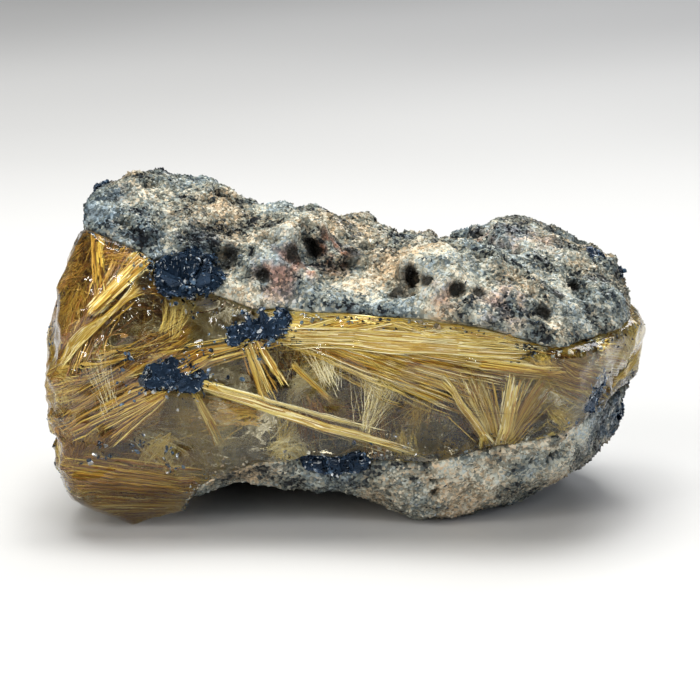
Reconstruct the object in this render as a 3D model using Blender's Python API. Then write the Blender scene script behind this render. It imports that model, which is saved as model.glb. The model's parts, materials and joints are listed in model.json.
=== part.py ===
"""A hand specimen of rutilated quartz: a broken lump of clear quartz with a vuggy grey crust grown over
its top and a thinner one under its right half, knots of hematite plates, and sheaves of rutile.

The stone is lofted along X through hand-drawn cross-sections, pushed about by named lumps, hollows and
vugs, trimmed by the flat fractures it broke along, and roughened. Two wavy seams then part it into the
quartz and its two crusts. The knots and sheaves sit in sockets a little larger than themselves.

Sizes are in millimetres and the meshes in metres. X runs along the stone, -Y is its front, +Z is up,
and the origin is under the middle of the stone, on the surface that it stands on."""

import math
import random

import bpy
import bmesh
from mathutils import Matrix, Vector, noise
from mathutils.bvhtree import BVHTree

MM = 0.001

# How finely the stone is carved, and how many faces it keeps.
CARVING_STEP = 0.95
STONE_FACES = 2580
FLAT_ANGLE = 3
POINTS_ROUND = 56
RINGS = 60

# The clearance between pieces that touch, and the depth of the flats that the stone stands on.
GAP = 0.3
FOOT_FLAT = 0.8

# Cross-sections of the stone. Each has its place along X, then (y, z) where these ten lines run: keel,
# front foot, front underside, front belly, front rim, crest, back rim, back belly, back underside, back foot.
SECTIONS = [
    (-39.8, (0, 10), (-9, 9), (-15, 12), (-18, 20), (-12, 30),
     (0, 35), (12, 33), (15, 26), (12, 17), (8, 11)),
    (-37, (0, 3), (-9, 3), (-18, 6), (-23.2, 17), (-16, 34),
     (-3, 42.4), (17, 37), (22, 30), (18, 15), (12, 5)),
    (-30, (0, 0.4), (-9, 0), (-19, 5), (-24.2, 16), (-17, 35),
     (4, 45.6), (20, 39), (23.6, 31), (20, 15), (13, 3)),
    (-22, (2, 1.4), (-9, 3), (-18, 6), (-22.6, 15), (-16, 35),
     (4, 45.4), (19.5, 38), (23.6, 28), (21.5, 14), (14, 0.6)),
    (-15, (2, 2.8), (-8, 5), (-17, 8), (-21.6, 16), (-15.5, 35),
     (1, 41.6), (18.5, 36), (23, 25), (21, 13), (14, 0.6)),
    (-7, (2, 3.2), (-9, 5), (-17, 7.5), (-21.8, 18), (-16.5, 36.5),
     (-3, 41.6), (17.5, 35), (22, 23), (20.5, 13), (14, 0.8)),
    (2, (1, 1.6), (-10, 3), (-17, 7), (-22.6, 20), (-17.5, 33),
     (4, 39.2), (17, 33), (21, 22), (20, 12), (14, 1.2)),
    (11, (-2, 0.3), (-11, 0.4), (-18, 6), (-23.6, 21), (-18.5, 37),
     (-2, 38.4), (18, 32.5), (22, 22), (21, 11), (13, 0.4)),
    (17, (0, 0.2), (-10, 0.9), (-18, 7.5), (-24.6, 24), (-19.5, 35),
     (-1, 37.6), (18, 34), (22.5, 24), (21.5, 11), (14, 0.8)),
    (25, (2, 1.6), (-9, 4), (-17, 10.5), (-24.2, 24), (-20, 31),
     (0, 37.4), (18, 35.6), (23.2, 26), (21.8, 12), (14, 1.8)),
    (31, (3, 4.2), (-8, 7.4), (-16, 13.6), (-22.4, 23), (-18, 28.5),
     (0, 34.8), (17.5, 33.5), (22.8, 25), (21, 13), (14, 3.8)),
    (37, (2, 9.5), (-6, 12), (-12.5, 16.5), (-17, 22), (-13, 26.5),
     (2, 32), (14.5, 30.5), (19, 23), (17, 14), (11, 9)),
    (39.8, (2, 15), (-3, 15.5), (-6.5, 18), (-9, 21), (-7, 24),
     (2, 27), (9, 26), (12, 21), (10.5, 17), (7, 15)),
]

# Lumps and hollows: centre, radius, and how far the middle of the stroke moves the surface.
LUMPS = [
    ((-16, -10, 41), 6, (0, 0, -1.8)),  # the saddle beside the peak
    ((-8, -12, 42), 6, (0, -0.8, 1)),  # the knoll in the middle
    ((0, -9, 40), 5, (0, 1.5, -2.6)),  # the notch behind the large vug
    ((10, -16, 37), 6.5, (0, -1, 1.8)),  # the pale front boss
    ((23.5, 13.5, 36), 7, (0, 0, 1.6)),  # the back boss
    ((20, -13, 37), 4.5, (0, 0, 1.6)),  # the right boss
    ((15, 1, 38), 6.5, (0, 0, -3.2)),  # the worn hollow on the right of the top
    ((-20, -20.5, 31), 7, (0, 3, 0)),  # the cleft between the left block and the window
    ((-30, -23, 25), 6, (0, 1.4, 0)),
    ((-34, -22.5, 13), 5, (0, -0.6, 0)),
    ((2, 21, 24), 5.5, (0, -2.6, 0)),  # the recess at the back
    ((-39.5, 4, 22), 8, (1.8, 0, 0)),  # the shell-shaped hollow in the left end
    ((-39, -14, 24), 6, (1.2, 0.8, 0)),
    ((5, -22, 17), 9, (0, 1.2, 0)),  # the shell-shaped hollow in the window
]

# Vugs, the open holes in the crust: mouth, radius, and which way and how far each goes in.
VUGS = [
    ((-2.5, -16, 37), 3.6, (0.5, 5.5, -1.5)),
    ((5, -18.5, 34.5), 2.7, (0, 5, 0)),
    ((9, -20, 33), 1.8, (0, 3, 0)),
    ((13.5, -20, 32.5), 1.6, (0, 2.4, 0)),
    ((26, -22, 27), 2.2, (0, 3.5, 0)),
    ((19, -4, 37), 3, (0, 1, -4.5)),
    ((14, 8, 36), 3, (0, 0, -4.5)),
    ((27, 4, 34), 2.6, (0, 0, -3.6)),
    ((28, 21, 29.5), 2.8, (0, -4.5, 0)),
    ((18, 19.5, 33), 2.8, (-0.5, -4.5, -1)),
    ((-12, 21, 33.5), 2.5, (0, -4, 0)),
    ((-4, 12, 39), 3, (0, -1.5, -4)),
    ((-13, 8, 41), 2.4, (0, 0, -3)),
    ((-20, -15, 40), 2.2, (0, 2.5, -1.5)),
    ((8, 1, 39), 2.4, (0, 0, -3)),
]

# Flat fractures: a point on each, and the way out of the stone.
FRACTURES = [
    ((-2, -21.6, 18), (-0.02, -1, -0.12)),  # the window of clear quartz in front
    ((20, -22.6, 22), (0.16, -0.9, -0.36)),
    ((33, -15, 19), (0.7, -0.6, -0.36)),
    ((-29, -22.4, 20), (-0.12, -1, 0.02)),
    ((-39.3, -10, 14), (-1, -0.12, -0.08)),  # the left end
    ((-38.8, 10, 24), (-1, 0.3, -0.3)),
    ((-36.8, 0, 36), (-0.95, 0, 0.28)),  # the shoulder above the left end
    ((-12, 22.2, 20), (0, 1, 0.02)),  # the back
    ((25, 22.2, 20), (0.06, 1, -0.02)),
    ((36.5, 10, 22), (1, 0.35, -0.1)),
    ((36, -8, 20), (1, -0.45, -0.3)),
]

# Heights of the seams at the front and the back of the stone, by place along X.
TOP_SEAM = [
    (-42, 41, 37), (-35, 41, 34.5), (-29, 40, 28), (-25, 37, 30), (-21, 33, 32.5), (-14, 30, 31),
    (-6, 30, 27), (1, 30.5, 25.5), (7, 30.5, 26),
    (13, 29.5, 29), (20, 27.5, 29.5), (27, 25.5, 27.5), (42, 26, 26.5),
]
BASE_SEAM = [
    (-42, -6, -6), (-26, -4, -5), (-22, 6, -3), (-17, 9.5, 5), (-11, 10.4, 11), (-4, 10.2, 13), (4, 10, 12),
    (12, 10.6, 11.6), (20, 11.8, 13), (27, 13.4, 15), (34, 16, 16), (42, 17, 16.5),
]
SEAM_CELL = 7.5
SEAM_WAVE = 1.3

# Knots of hematite: a point near the surface, half-length, half-width, turn of the long side, and plates.
HEMATITE_KNOTS = [
    ("front_rim", (-22, -16, 37), 4.8, 3, 20, 5),
    ("front_cleft", (-23, -22.5, 22.7), 3.8, 2.3, 8, 4),
    ("front_band", (-13, -21.5, 29), 4.2, 1.9, 14, 4),
    ("front_base", (-2.5, -17, 10.5), 4.4, 1.9, 0, 4),
    ("right_edge", (33.5, -16, 18.5), 2.9, 1.9, 75, 3),
    ("right_face", (36.5, 2, 14), 3.2, 2.6, 0, 4),
    ("right_top", (34, 6, 29), 3.6, 2.3, 55, 4),
    ("back_mid", (8, 21, 28.7), 6.6, 3.4, -14, 6),
    ("back_notch", (-8, 21, 28.5), 3, 2.7, 90, 3),
    ("back_corner", (-30.6, 22, 32.5), 6.6, 3.2, 80, 5),
    ("back_plate", (-26.8, 23, 22.6), 3.4, 1.8, 0, 3),
    ("end_peak", (-34.5, 7, 43.5), 3.8, 2.8, 0, 4),
    ("end_band", (-38.6, -5.5, 13), 8.2, 2.9, 84, 6),
]
PLATE_SIDES = 6

# Sheaves of rutile that reach the surface: two points near it, width at each end, and needles.
RUTILE_SHEAVES = [
    ("band_upper", (-9.5, -21.5, 28.5), (22, -24.5, 26.5), 2.2, 1.8, 3),
    ("long_ray", (-18.5, -22, 20.8), (5.5, -20, 13), 1.2, 0.9, 3),
    ("right_fan", (12, -22, 22), (17.5, -18, 13.6), 1.2, 2, 3),
    ("left_streak", (-36.5, -20, 24), (-28, -19, 33.5), 1.6, 1.2, 3),
    ("right_gold", (33.5, -9.5, 19), (37.2, 0, 20.5), 2.4, 1.8, 3),
    ("back_long", (20.5, 22, 29.5), (5, 21, 16.5), 1.7, 1, 3),
    ("back_cross", (-10, 22, 25.5), (-20, 22.5, 16), 1.8, 1.1, 3),
    ("back_low", (19.5, 22, 12.6), (8.5, 21.5, 14.6), 1.5, 0.9, 3),
]
NEEDLE_LENGTH = 15
NEEDLE_LAP = 1.4
SHEAF_LIFT = 0.12
NEEDLE_SIDES = 5

# The look of each mineral: colour, roughness, metallic.
FINISHES = {
    "clear_quartz": ((0.62, 0.54, 0.34), 0.12, 0.0),
    "vuggy_crust": ((0.36, 0.35, 0.34), 0.75, 0.0),
    "hematite": ((0.07, 0.09, 0.13), 0.28, 0.9),
    "rutile": ((0.72, 0.55, 0.16), 0.3, 0.4),
}


def spline(points, place):
    """A smooth curve through points, at a place from 0 to their number less one."""
    index = min(int(place), len(points) - 2)
    share = place - index
    before, start, end, after = (
        points[max(0, min(len(points) - 1, index + step))] for step in (-1, 0, 1, 2)
    )
    return 0.5 * (
        2 * start
        + (end - before) * share
        + (2 * before - 5 * start + 4 * end - after) * share**2
        + (3 * start - before - 3 * end + after) * share**3
    )


def closed_spline(points, count):
    """As many points as asked for, spread round a smooth closed curve."""
    wrapped = [points[-1], *points, points[0], points[1]]
    return [spline(wrapped, 1 + len(points) * step / count) for step in range(count)]


def section_at(place):
    """The stone's outline where it is cut across, as points in metres."""
    lines = [
        [Vector((x, *lines_at[number])) for x, *lines_at in SECTIONS] for number in range(10)
    ]
    return [point * MM for point in closed_spline([spline(line, place) for line in lines], POINTS_ROUND)]


def mesh_object(name, shape):
    """A new object that holds a bmesh, with its faces pointing out."""
    bmesh.ops.recalc_face_normals(shape, faces=shape.faces)
    mesh = bpy.data.meshes.new(name)
    shape.to_mesh(mesh)
    shape.free()
    made = bpy.data.objects.new(name, mesh)
    bpy.context.scene.collection.objects.link(made)
    return made


def apply_modifiers(made):
    """Replaces an object's mesh by what its modifiers make of it."""
    graph = bpy.context.evaluated_depsgraph_get()
    mesh = bpy.data.meshes.new_from_object(made.evaluated_get(graph))
    made.modifiers.clear()
    made.data = mesh


def loft_stone():
    """The plain stone, as a skin of rings with a face across each end, remade in even cells."""
    shape = bmesh.new()
    last = len(SECTIONS) - 1
    rings = [
        [shape.verts.new(point) for point in section_at(last * step / (RINGS - 1))] for step in range(RINGS)
    ]
    for ring, after in zip(rings, rings[1:]):
        for step in range(POINTS_ROUND):
            beside = (step + 1) % POINTS_ROUND
            shape.faces.new((ring[step], ring[beside], after[beside], after[step]))
    shape.faces.new(rings[0])
    shape.faces.new(reversed(rings[-1]))
    stone = mesh_object("stone", shape)
    cells = stone.modifiers.new("cells", "REMESH")
    cells.mode = "VOXEL"
    cells.voxel_size = CARVING_STEP * MM
    apply_modifiers(stone)
    return stone


def between(table, x, y):
    """A seam's height at a place, from its heights at the front and the back."""
    for (x0, front0, back0), (x1, front1, back1) in zip(table, table[1:]):
        if x <= x1:
            share = (x - x0) / (x1 - x0)
            break
    across = min(1.0, max(0.0, 0.5 + y / 44))
    front = front0 + (front1 - front0) * share
    back = back0 + (back1 - back0) * share
    return front + (back - front) * across


def seam_height(table, x, y):
    """A seam's height with its own unevenness, all in millimetres."""
    x = min(41.9, max(-41.9, x))
    wave = noise.noise(Vector((x * 0.16, y * 0.16, table[1][1])))
    return between(table, x, y) + SEAM_WAVE * wave


def stroke(points, centre, radius, shift):
    """Moves the points round a centre, most at its middle and not at all at its edge."""
    centre, shift = Vector(centre) * MM, Vector(shift) * MM
    for point in points:
        share = (point.co - centre).length / (radius * MM)
        if share < 1:
            point.co += shift * (1 - share**2) ** 2


def flatten(points, place, normal):
    """Brings what stands out past a fracture back onto it, and leaves a little unevenness."""
    place, normal = Vector(place) * MM, Vector(normal).normalized()
    for point in points:
        proud = (point.co - place).dot(normal)
        if proud > 0:
            point.co -= normal * proud * 0.9


def knobble(at, size):
    """From 0 between the knobs of a crust to 1 at their middles. A knob is about size millimetres."""
    near, second = noise.voronoi(at / (size * MM))[0][:2]
    return min(1.0, (second - near) * 1.6)


def roughen(shape):
    """Knobs and pits on the crusts, least on the underside, and gentle shell-shaped ripples on the quartz."""
    shape.normal_update()
    moves = []
    for point in shape.verts:
        at = point.co
        x, y, z = at / MM
        above = z - seam_height(TOP_SEAM, x, y)
        below = seam_height(BASE_SEAM, x, y) - z
        crusty = min(1.0, max(0.0, 0.5 + 0.5 * max(above, below)))
        crusty *= 1 - 0.6 * max(0.0, -point.normal.z)
        lumpy = noise.noise(at / (7 * MM)) + 0.5 * noise.noise(at / (3.2 * MM) + Vector((9, 4, 2)))
        knobs = 1.5 * knobble(at, 3.6) + 0.6 * knobble(at + Vector((0.01, 0.02, 0)), 1.9) - 1.15
        ripple = 0.3 * noise.noise(Vector((x * 0.12, y * 0.12, z * 0.3))) + 0.15 * noise.noise(at / (4 * MM))
        moves.append(point.normal * MM * (crusty * (0.8 * lumpy + knobs) + (1 - crusty) * ripple))
    for point, move in zip(shape.verts, moves):
        point.co += move


def carve_stone():
    """The whole stone: lofted, pushed about, broken, roughened, thinned and given flats to stand on."""
    stone = loft_stone()
    shape = bmesh.new()
    shape.from_mesh(stone.data)
    for centre, radius, shift in LUMPS:
        stroke(shape.verts, centre, radius, shift)
    for place, normal in FRACTURES:
        flatten(shape.verts, place, normal)
    for centre, radius, shift in VUGS:
        stroke(shape.verts, centre, radius, shift)
    roughen(shape)
    shape.to_mesh(stone.data)
    shape.free()
    cells = stone.modifiers.new("cells", "REMESH")
    cells.mode = "VOXEL"
    cells.voxel_size = CARVING_STEP * MM
    apply_modifiers(stone)
    thin = stone.modifiers.new("thin", "DECIMATE")
    thin.ratio = STONE_FACES / (2 * len(stone.data.polygons))
    apply_modifiers(stone)
    shape = bmesh.new()
    shape.from_mesh(stone.data)
    lowest = min(point.co.z for point in shape.verts)
    whole = [*shape.verts, *shape.edges, *shape.faces]
    cut = bmesh.ops.bisect_plane(
        shape,
        geom=whole,
        plane_co=(0, 0, lowest + FOOT_FLAT * MM),
        plane_no=(0, 0, -1),
        clear_outer=True,
    )
    rims = [piece for piece in cut["geom_cut"] if isinstance(piece, bmesh.types.BMEdge)]
    bmesh.ops.holes_fill(shape, edges=rims, sides=0)
    bmesh.ops.translate(shape, verts=shape.verts, vec=(0, 0, -lowest - FOOT_FLAT * MM))
    bmesh.ops.triangulate(shape, faces=shape.faces)
    bmesh.ops.recalc_face_normals(shape, faces=shape.faces)
    shape.to_mesh(stone.data)
    shape.free()
    return stone


def layer(name, floor, ceiling):
    """A helper solid between two heights that vary over the stone, for cutting a layer out of it."""
    shape = bmesh.new()
    columns = math.ceil(100 / SEAM_CELL)
    rows = math.ceil(70 / SEAM_CELL)
    sheets = []
    for height in (floor, ceiling):
        sheet = {}
        for column in range(columns + 1):
            for row in range(rows + 1):
                x, y = column * SEAM_CELL - 50, row * SEAM_CELL - 35
                sheet[column, row] = shape.verts.new((x * MM, y * MM, height(x, y) * MM))
        sheets.append(sheet)
    for sheet in sheets:
        for column in range(columns):
            for row in range(rows):
                corners = ((column, row), (column + 1, row), (column + 1, row + 1), (column, row + 1))
                shape.faces.new([sheet[corner] for corner in corners])
    around = (
        [(column, 0) for column in range(columns)]
        + [(columns, row) for row in range(rows)]
        + [(column, rows) for column in range(columns, 0, -1)]
        + [(0, row) for row in range(rows, 0, -1)]
    )
    for corner, after in zip(around, around[1:] + around[:1]):
        low, high = sheets
        shape.faces.new((low[corner], low[after], high[after], high[corner]))
    bmesh.ops.triangulate(shape, faces=shape.faces)
    made = mesh_object(name, shape)
    hide(made)
    return made


def hide(helper):
    """Marks an object as a helper, which is no part of the specimen."""
    helper.hide_render = True
    helper.display_type = "WIRE"


def material(name):
    """The material of one mineral."""
    colour, roughness, metallic = FINISHES[name]
    made = bpy.data.materials.get(name) or bpy.data.materials.new(name)
    made.use_nodes = True
    shader = made.node_tree.nodes["Principled BSDF"]
    shader.inputs["Base Color"].default_value = (*colour, 1)
    shader.inputs["Roughness"].default_value = roughness
    shader.inputs["Metallic"].default_value = metallic
    return made


def reach(made):
    """The least and the greatest corner of an object's mesh."""
    points = [point.co for point in made.data.vertices]
    return [Vector(pick(axis) for axis in zip(*points)) for pick in (min, max)]


def cut_sockets(made, sockets):
    """Cuts those sockets that an object reaches out of it, and drops any chip that comes loose."""
    low, high = reach(made)
    for socket in sockets:
        least, most = reach(socket)
        if all(least[axis] < high[axis] and most[axis] > low[axis] for axis in range(3)):
            cut = made.modifiers.new(socket.name, "BOOLEAN")
            cut.operation = "DIFFERENCE"
            cut.object = socket
    apply_modifiers(made)
    largest_body(made)


def cut_layer(stone, name, region, finish, sockets):
    """One layer of the stone, with the sockets for knots and sheaves cut into it."""
    made = bpy.data.objects.new(name, stone.data.copy())
    bpy.context.scene.collection.objects.link(made)
    keep = made.modifiers.new("layer", "BOOLEAN")
    keep.operation = "INTERSECT"
    keep.object = region
    cut_sockets(made, sockets)
    merge = made.modifiers.new("merge", "DECIMATE")
    merge.decimate_type = "DISSOLVE"
    merge.angle_limit = math.radians(FLAT_ANGLE)
    apply_modifiers(made)
    largest_body(made)
    made.data.materials.clear()
    made.data.materials.append(material(finish))
    return made


def seated(tree, place):
    """The nearest point of the stone's surface, in metres, and the way out there."""
    found, normal, *_ = tree.find_nearest(Vector(place) * MM)
    return found, normal


def union_of(name, prisms, grown=0.0):
    """One solid from overlapping prisms. Each has its sides, radius, length, taper and place."""
    made = []
    for sides, radius, length, taper, placed in prisms:
        shape = bmesh.new()
        bmesh.ops.create_cone(
            shape,
            cap_ends=True,
            segments=sides,
            radius1=(radius + grown) * MM,
            radius2=(radius * taper + grown) * MM,
            depth=(length + 2 * grown) * MM,
            matrix=placed,
        )
        made.append(mesh_object(name, shape))
    first, *rest = made
    for other in rest:
        join = first.modifiers.new("join", "BOOLEAN")
        join.operation = "UNION"
        join.object = other
    apply_modifiers(first)
    for other in rest:
        bpy.data.objects.remove(other)
    first.name = name
    return first


def seated_piece(name, prisms, finish):
    """A piece made of prisms, and the helper for its socket, which is larger by the clearance."""
    piece = union_of(name, prisms)
    piece.data.materials.append(material(finish))
    socket = union_of(f"socket_{name}", prisms, GAP * 1.35)
    hide(socket)
    return piece, socket


def hematite_plates(tree, name, place, half_length, half_width, turn, plates):
    """Thick hexagonal plates that grew through each other in a row, sunk in the stone."""
    chance = random.Random(name)
    at, out = seated(tree, place)
    facing = out.to_track_quat("Z", "Y").to_matrix().to_4x4() @ Matrix.Rotation(math.radians(turn), 4, "Z")
    made = []
    for number in range(plates):
        share = 2 * number / (plates - 1) - 1
        radius = half_width * chance.uniform(0.8, 1.0)
        aside = chance.uniform(-0.25, 0.25) * half_width
        along = facing @ Vector((share * (half_length - 0.7 * half_width), aside, 0))
        spot, *_ = tree.find_nearest(at + along * MM)
        lean = Matrix.Rotation(math.radians(chance.uniform(14, 42)), 4, (chance.uniform(-1, 1), 1, 0))
        spin = Matrix.Rotation(chance.uniform(0, math.pi), 4, "Z")
        sunk = out * (chance.uniform(0.05, 0.3) - 0.3 * half_width) * MM
        placed = Matrix.Translation(spot + sunk) @ facing @ spin @ lean
        made.append((PLATE_SIDES, radius, 0.66 * half_width, 0.9, placed))
    return made


def rutile_needles(tree, name, start, end, start_width, end_width, needles):
    """Needles side by side along a line over the stone's face, in lengths that lap, half sunk in it."""
    chance = random.Random(name)
    (tail, tail_out), (tip, tip_out) = seated(tree, start), seated(tree, end)
    across = (tip - tail).cross(tail_out + tip_out).normalized()
    lengths = max(1, round((tip - tail).length / MM / NEEDLE_LENGTH))
    thick = 0.74 * max(start_width, end_width) / (needles - 1)
    stations = []
    for part in range(lengths + 1):
        spot, out = seated(tree, tail.lerp(tip, part / lengths) / MM)
        width = start_width + (end_width - start_width) * part / lengths
        stations.append((spot + out * SHEAF_LIFT * MM, width))
    made = []
    for number in range(needles):
        aside = number / (needles - 1) - 0.5
        for part in range(lengths):
            low, high = (spot + across * aside * width * MM for spot, width in stations[part : part + 2])
            along = (high - low).normalized() * MM
            low = low - along * NEEDLE_LAP * chance.uniform(0.3, 1)
            high = high + along * NEEDLE_LAP * chance.uniform(0.3, 1)
            turn = (high - low).to_track_quat("Z", "Y").to_matrix().to_4x4()
            placed = Matrix.Translation((low + high) / 2) @ turn
            made.append((NEEDLE_SIDES, thick, (high - low).length / MM, 0.92, placed))
    return made


def largest_body(made):
    """Leaves only the largest of an object's separate bodies, so that no chip is left over from a cut."""
    shape = bmesh.new()
    shape.from_mesh(made.data)
    bmesh.ops.triangulate(shape, faces=shape.faces)
    bmesh.ops.dissolve_degenerate(shape, dist=0.04 * MM, edges=shape.edges)
    bodies, seen = [], set()
    for seed in shape.faces:
        if seed in seen:
            continue
        body, edge = [], [seed]
        seen.add(seed)
        while edge:
            face = edge.pop()
            body.append(face)
            for side in (side for side in face.edges if len(side.link_faces) == 2):
                for beside in side.link_faces:
                    if beside not in seen:
                        seen.add(beside)
                        edge.append(beside)
        bodies.append(body)
    bodies.sort(key=lambda body: sum(face.calc_area() for face in body))
    chips = [face for body in bodies[:-1] for face in body]
    bmesh.ops.delete(shape, geom=chips, context="FACES")
    shape.to_mesh(made.data)
    shape.free()


def main():
    for old in list(bpy.data.objects):
        bpy.data.objects.remove(old)
    stone = carve_stone()
    hide(stone)
    shape = bmesh.new()
    shape.from_mesh(stone.data)
    tree = BVHTree.FromBMesh(shape)
    shape.free()

    pieces, sockets = [], []
    for row in HEMATITE_KNOTS:
        name = f"hematite_{row[0]}"
        piece, socket = seated_piece(name, hematite_plates(tree, name, *row[1:]), "hematite")
        cut_sockets(piece, sockets)
        pieces.append(piece)
        sockets.append(socket)
    for row in RUTILE_SHEAVES:
        name = f"rutile_{row[0]}"
        piece, socket = seated_piece(name, rutile_needles(tree, name, *row[1:]), "rutile")
        cut_sockets(piece, sockets)
        pieces.append(piece)
        sockets.append(socket)

    def top(x, y):
        return seam_height(TOP_SEAM, x, y)

    def base(x, y):
        return seam_height(BASE_SEAM, x, y)

    crust_region = layer("crust_region", top, lambda x, y: 70)
    quartz_region = layer("quartz_region", lambda x, y: base(x, y) + GAP, lambda x, y: top(x, y) - GAP)
    base_region = layer("base_region", lambda x, y: -10, base)
    pieces.append(cut_layer(stone, "top_crust", crust_region, "vuggy_crust", sockets))
    pieces.append(cut_layer(stone, "quartz", quartz_region, "clear_quartz", sockets))
    pieces.append(cut_layer(stone, "base_crust", base_region, "vuggy_crust", sockets))

    low = [min(reach(piece)[0][axis] for piece in pieces) for axis in range(2)]
    high = [max(reach(piece)[1][axis] for piece in pieces) for axis in range(2)]
    specimen = bpy.data.objects.new("specimen", None)
    bpy.context.scene.collection.objects.link(specimen)
    specimen.location = (-(low[0] + high[0]) / 2, -(low[1] + high[1]) / 2, 0)
    for piece in [*pieces, *sockets, crust_region, quartz_region, base_region, stone]:
        piece.parent = specimen


main()
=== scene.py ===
"""The looks of a hand specimen of rutilated quartz: clear smoky quartz full of golden rutile needles, with
a grey vuggy crust over its top and under its right half, and knots of blue-black hematite plates.

Sizes are in millimetres and the meshes in metres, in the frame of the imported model: X runs along the
stone, -Y is its front, and the floor is at Z = 0."""

import json
import math

import bpy
import numpy as np
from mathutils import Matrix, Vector, noise
from mathutils.bvhtree import BVHTree

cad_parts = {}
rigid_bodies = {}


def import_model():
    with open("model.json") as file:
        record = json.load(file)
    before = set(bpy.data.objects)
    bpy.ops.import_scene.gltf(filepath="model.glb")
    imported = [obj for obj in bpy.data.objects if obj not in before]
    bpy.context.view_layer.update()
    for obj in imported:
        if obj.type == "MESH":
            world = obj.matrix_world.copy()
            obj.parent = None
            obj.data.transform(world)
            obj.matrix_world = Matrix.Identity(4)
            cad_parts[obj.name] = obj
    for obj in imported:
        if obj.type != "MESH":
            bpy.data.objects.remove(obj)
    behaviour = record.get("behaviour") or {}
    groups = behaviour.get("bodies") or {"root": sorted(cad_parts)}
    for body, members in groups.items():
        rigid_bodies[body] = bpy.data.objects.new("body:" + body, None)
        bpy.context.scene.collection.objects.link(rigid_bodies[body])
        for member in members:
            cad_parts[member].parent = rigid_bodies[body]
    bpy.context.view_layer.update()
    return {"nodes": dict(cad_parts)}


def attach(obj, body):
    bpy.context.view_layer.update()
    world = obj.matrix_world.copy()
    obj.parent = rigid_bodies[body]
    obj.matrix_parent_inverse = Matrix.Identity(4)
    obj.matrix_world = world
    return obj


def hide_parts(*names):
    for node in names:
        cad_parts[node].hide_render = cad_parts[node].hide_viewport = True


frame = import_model()

MM = 0.001


# The studio: a pale matt table under a large softbox, a wider one in front on the left for the broken faces,
# and a dim grey room. The large boxes aren't mirrored in the stone, and three small lamps give it its glints.
# The camera looks from the photograph's front view, a little from above.
VIEW_ELEVATION = math.radians(13)
VIEW_DISTANCE = 400 * MM
LENS, SENSOR = 150, 36
AIM = Vector((0, 0, 21)) * MM
ROOM_COLOUR, ROOM_LIGHT = "#D8D7D3", 0.17
TABLE_RADIUS = 2.5


def linear(code):
    """The linear colour, with alpha, of an sRGB hex code."""
    parts = [int(code[place : place + 2], 16) / 255 for place in (1, 3, 5)]
    return [part / 12.92 if part < 0.04045 else ((part + 0.055) / 1.055) ** 2.4 for part in parts] + [1]


def node(tree, kind, sockets=None, stops=(), **settings):
    """Adds a node with its settings. A socket's value is a number, a colour, or the output that feeds it."""
    made = tree.nodes.new(kind)
    for name, value in settings.items():
        setattr(made, name, value)
    for name, value in (sockets or {}).items():
        if isinstance(value, bpy.types.NodeSocket):
            tree.links.new(value, made.inputs[name])
        else:
            made.inputs[name].default_value = value
    for number, (place, code) in enumerate(stops):
        ramp = made.color_ramp.elements
        stop = ramp[number] if number < len(ramp) else ramp.new(place)
        stop.position, stop.color = place, linear(code)
    return made


def new_material(name):
    """An empty node material, its tree and its output."""
    made = bpy.data.materials.new(name)
    made.use_nodes = True
    made.node_tree.nodes.clear()
    return made, made.node_tree, made.node_tree.nodes.new("ShaderNodeOutputMaterial")


def give(piece, finish):
    """Leaves a piece with one material."""
    piece.data.materials.clear()
    piece.data.materials.append(finish)


camera = bpy.data.objects.new("camera", bpy.data.cameras.new("camera"))
bpy.context.scene.collection.objects.link(camera)
camera.data.lens, camera.data.sensor_width = LENS, SENSOR
towards_camera = Vector((0, -math.cos(VIEW_ELEVATION), math.sin(VIEW_ELEVATION)))
camera.location = AIM + towards_camera * VIEW_DISTANCE
camera.rotation_euler = towards_camera.to_track_quat("Z", "Y").to_euler()
bpy.context.scene.camera = camera

for old in [thing for thing in bpy.data.objects if thing.type == "LIGHT" or thing.name == "Cube"]:
    bpy.data.objects.remove(old)
# The lights: name, place and side in metres, power in watts, colour, and whether glossy faces mirror it.
SOFTBOXES = [
    ("overhead", (-0.04, 0.09, 0.50), 0.38, 3.9, "#FFFDF8", False),
    ("front_left", (-0.42, -0.55, 0.42), 0.55, 3.6, "#FFF9F0", False),
    ("front_right", (0.5, -0.5, 0.3), 0.4, 1.3, "#F2F6FF", False),
    ("behind", (0.25, 0.7, 0.45), 0.4, 1.6, "#FAFBFF", True),
    ("glint_left", (-0.3, -0.45, 0.5), 0.08, 0.4, "#FFFFFF", True),
    ("glint_right", (0.28, -0.5, 0.42), 0.06, 0.2, "#FFFFFF", True),
    ("glint_top", (0.05, 0.1, 0.55), 0.12, 0.5, "#FFFFFF", True),
]
for name, place, side, power, code, mirrored in SOFTBOXES:
    light = bpy.data.lights.new(name, "AREA")
    light.shape, light.size, light.energy = "SQUARE", side, power
    light.color = linear(code)[:3]
    lamp = bpy.data.objects.new(name, light)
    lamp.location = place
    lamp.visible_glossy = mirrored
    lamp.rotation_euler = (Vector(place) - AIM).to_track_quat("Z", "Y").to_euler()
    bpy.context.scene.collection.objects.link(lamp)

room = bpy.context.scene.world or bpy.data.worlds.new("room")
bpy.context.scene.world = room
room.use_nodes = True
room.node_tree.nodes["Background"].inputs["Color"].default_value = linear(ROOM_COLOUR)
room.node_tree.nodes["Background"].inputs["Strength"].default_value = ROOM_LIGHT
bpy.context.scene.view_settings.view_transform = "Standard"

bpy.ops.object.select_all(action="DESELECT")
bpy.ops.mesh.primitive_circle_add(vertices=96, radius=TABLE_RADIUS, fill_type="NGON")
table_top = bpy.context.object
table_top.name = "table_top"

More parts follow.
